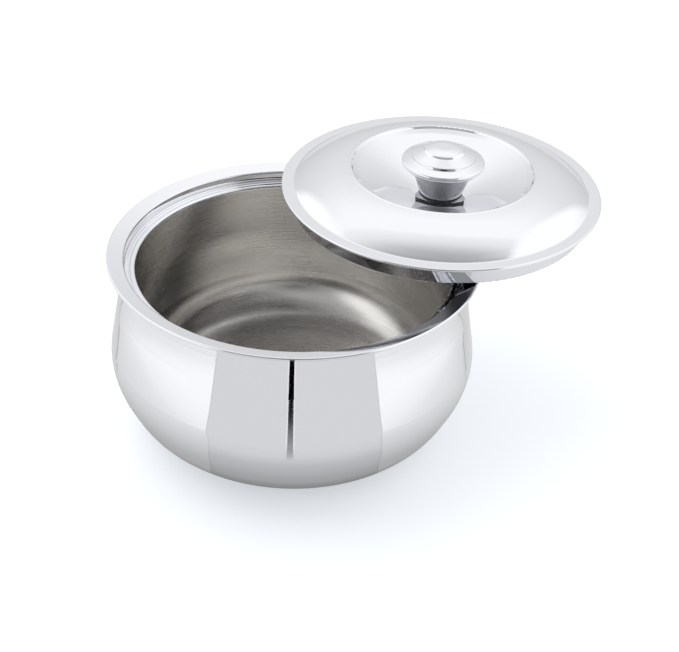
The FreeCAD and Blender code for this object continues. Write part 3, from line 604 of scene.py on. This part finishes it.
def strip(name, one_side, other_side, lift, material):
    """A card over the floor between two lines, each a list of degrees from the front and mm from
    the pot's axis."""
    points = []
    for degrees, reach in one_side + other_side[::-1]:
        angle = math.radians(degrees)
        points.append((reach * MM * math.sin(angle), -reach * MM * math.cos(angle), lift))
    card(name, points, [range(len(points))], material)


def turned(line, turn):
    """A line turned by so many degrees about the pot's axis."""
    return [(degrees + turn, reach) for degrees, reach in line]


# The grey reflection's two long edges, from the pot outwards, with a painted shadow line along each.
LEFT_EDGE = [(-28, 90), (-28.6, 113), (-30, 143), (-32.5, 186), (-34.8, 215), (-36.4, 250),
             (-37.2, 300), (-38.0, 350), (-38.5, 900)]
RIGHT_EDGE = [(37.3, 90), (37.7, 114), (40.1, 158), (42.7, 205), (44.8, 246), (45.8, 288),
              (46.5, 324), (46.7, 900)]
EDGE_LINE = 0.45  # degrees
EDGE_LEVEL = 0.84
strip("shadow_line_under_grey_reflection", turned(LEFT_EDGE, -EDGE_LINE), turned(RIGHT_EDGE, EDGE_LINE), 2 * CARD_LIFT,
      painted_reflection_glow("painted_shadow_along_grey_edges", GREY_REFLECTION_TINT, GREY_SHADE, EDGE_LEVEL))
strip("grey_reflection_card", LEFT_EDGE, RIGHT_EDGE, 3 * CARD_LIFT,
      painted_reflection_glow("grey_painted_reflection", GREY_REFLECTION_TINT, GREY_SHADE))

# Painted shade of the pot at its two sides, each with a painted dark line at or near its edge.
LEFT_SIDE = [(-92, 150), (-96.5, 165), (-102, 183), (-108.5, 200), (-117, 206), (-132, 216)]
RIGHT_SIDE = [(95, 150), (100.5, 176), (106.8, 202), (110.8, 211), (118, 218), (132, 222)]
SIDE_INNER = 148  # mm
LEFT_LINE = -2.0  # degrees, how wide the line is
RIGHT_LINE_FROM = 2.6
RIGHT_LINE_TO = 3.6
side_shade_glow = painted_reflection_glow("painted_side_shade", GREY_REFLECTION_TINT, [(150, 0.76), (200, 0.72), (220, 0.74)])
shade_line_glow = painted_reflection_glow("shade_line", GREY_REFLECTION_TINT, [(150, 0.60), (175, 0.46), (210, 0.38)])
for name, edge in (("left_shade", LEFT_SIDE), ("right_shade", RIGHT_SIDE)):
    inner = [(degrees, SIDE_INNER) for degrees, _ in edge]
    strip(name, edge, inner, 2 * CARD_LIFT, side_shade_glow)
strip("left_shade_line", LEFT_SIDE, turned(LEFT_SIDE, LEFT_LINE), 3 * CARD_LIFT, shade_line_glow)
strip("right_shade_line", turned(RIGHT_SIDE, RIGHT_LINE_FROM), turned(RIGHT_SIDE, RIGHT_LINE_TO),
      3 * CARD_LIFT, shade_line_glow)

# A painted dark line in the grey reflection, which runs straight away from the pot and widens. It
# is as light as the grey close to the pot and fades to black, and has a thin painted light line
# along each side.
DARK_LINE_PATH = [(2.35, 150), (2.35, 700)]
DARK_LINE_HALF_WIDTH = 1.3  # degrees
LIGHT_LINES_HALF_WIDTH = 1.9
DARK_LINE_SHADE = [
    (150, 0.70), (164, 0.56), (188, 0.44), (209, 0.39), (240, 0.37), (269, 0.33), (281, 0.26),
    (294, 0.19), (306, 0.10), (319, 0.045), (345, 0.0),
]
LIGHT_LINES_SHADE = [(150, 0.70), (190, 0.80), (250, 1.02)]
strip("painted_light_lines_by_dark_line", turned(DARK_LINE_PATH, -LIGHT_LINES_HALF_WIDTH), turned(DARK_LINE_PATH, LIGHT_LINES_HALF_WIDTH),
      4 * CARD_LIFT, painted_reflection_glow("painted_light_lines_glow", GREY_REFLECTION_TINT, LIGHT_LINES_SHADE))
strip("painted_dark_line", turned(DARK_LINE_PATH, -DARK_LINE_HALF_WIDTH), turned(DARK_LINE_PATH, DARK_LINE_HALF_WIDTH),
      5 * CARD_LIFT, painted_reflection_glow("painted_dark_line_glow", GREY_REFLECTION_TINT, DARK_LINE_SHADE))

# The pot's neck looks down at the dark line's pale end, and this black strip hides that end from
# it, so that the neck shows a painted dark reflection there.
NECK_STRIP = [(2.35, 108), (2.35, 156)]
NECK_STRIP_HALF_WIDTH = 0.9
NECK_STRIP_HEIGHT = 82 * MM
painted_dark_reflection_card, tree = new_material("painted_dark_reflection_card")
finish_material(tree, add_node(tree, "ShaderNodeEmission", {"Color": grey(0.0), "Strength": 0.0}))
strip("painted_dark_reflection_at_the_neck", turned(NECK_STRIP, -NECK_STRIP_HALF_WIDTH),
      turned(NECK_STRIP, NECK_STRIP_HALF_WIDTH), NECK_STRIP_HEIGHT, painted_dark_reflection_card)
